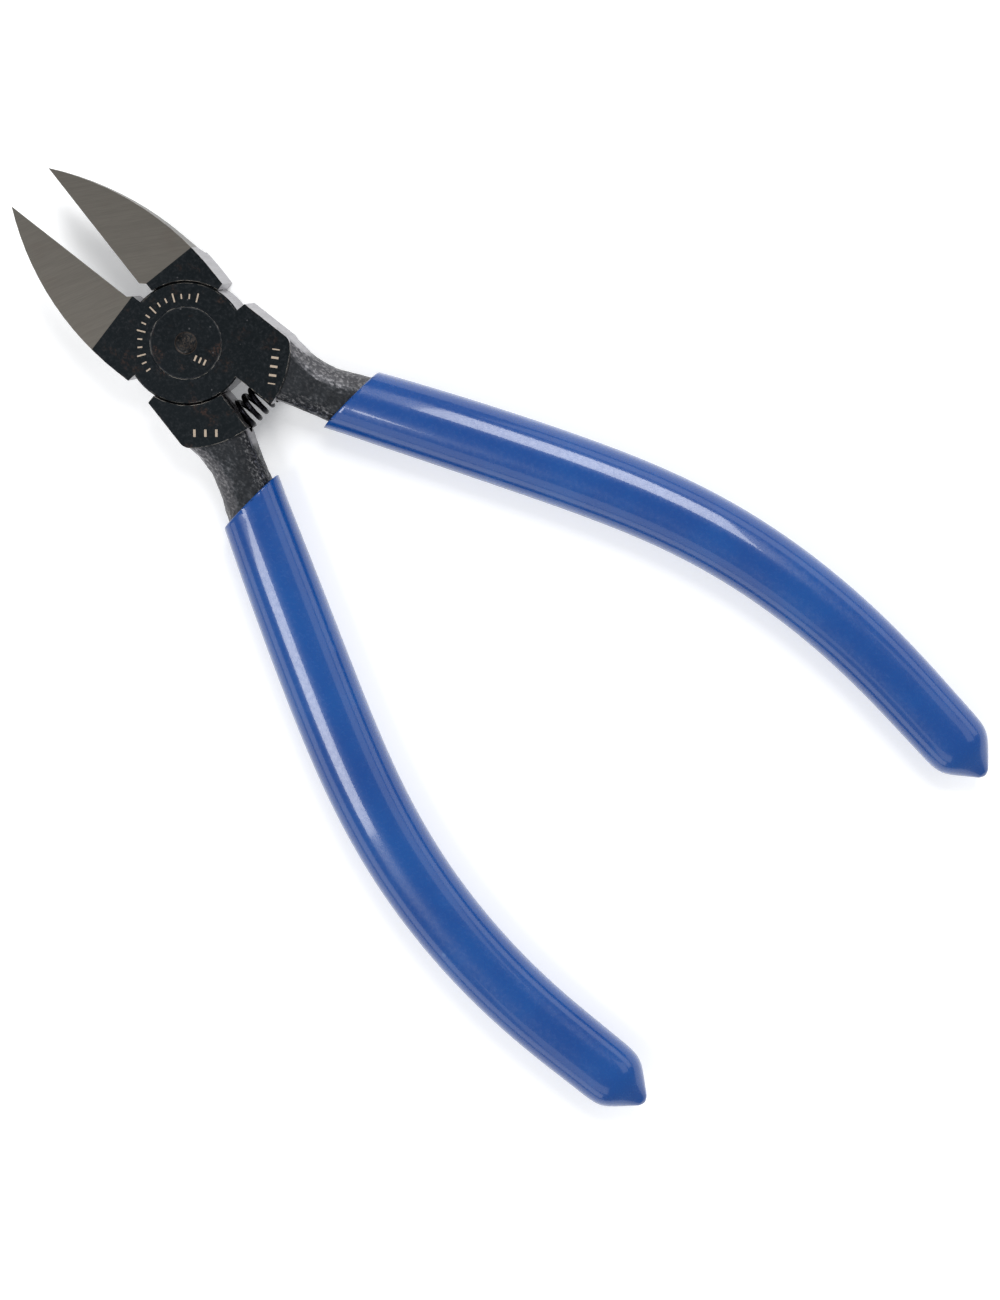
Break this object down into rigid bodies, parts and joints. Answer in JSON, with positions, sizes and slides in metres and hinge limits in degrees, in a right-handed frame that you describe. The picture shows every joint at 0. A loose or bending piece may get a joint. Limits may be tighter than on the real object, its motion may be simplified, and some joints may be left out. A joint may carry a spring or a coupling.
{
  "type": "flush cut pliers",
  "caption": "Flush cut pliers: two lapped forged halves on a flush rivet, ground blades, a coil return spring and plastic-dipped handles that open on one pivot.",
  "frame": {"origin": "on the pivot axis, at the flat back face of the head", "axes": "+X from the pivot towards the blade tips along the jaws' centre line, +Y towards the front half's jaw, +Z out of the flush front face along the pivot"},
  "size_m": [0.1474, 0.077, 0.009],
  "materials": {
    "blackened_steel": "black oxide on rough forging and ground faces, blades ground bright",
    "rivet_steel": "black oxide, ground flush",
    "spring_steel": "oiled black spring wire",
    "dipped_plastic": "glossy dipped plastic"
  },
  "bodies": {
    "rear": {"rear_half": "blackened_steel", "pivot_rivet": "rivet_steel", "return_spring": "spring_steel", "rear_grip": "dipped_plastic"},
    "front": {"front_half": "blackened_steel", "front_grip": "dipped_plastic"}
  },
  "joints": [
    {"name": "jaw_pivot", "type": "hinge", "parent": "rear", "child": "front", "pos_m": [0, 0, 0], "axis": [0, 0, 1], "range_deg": [-13.8, 24], "stiffness_Nm_per_rad": 1.1, "deforming": ["return_spring"]}
  ]
}
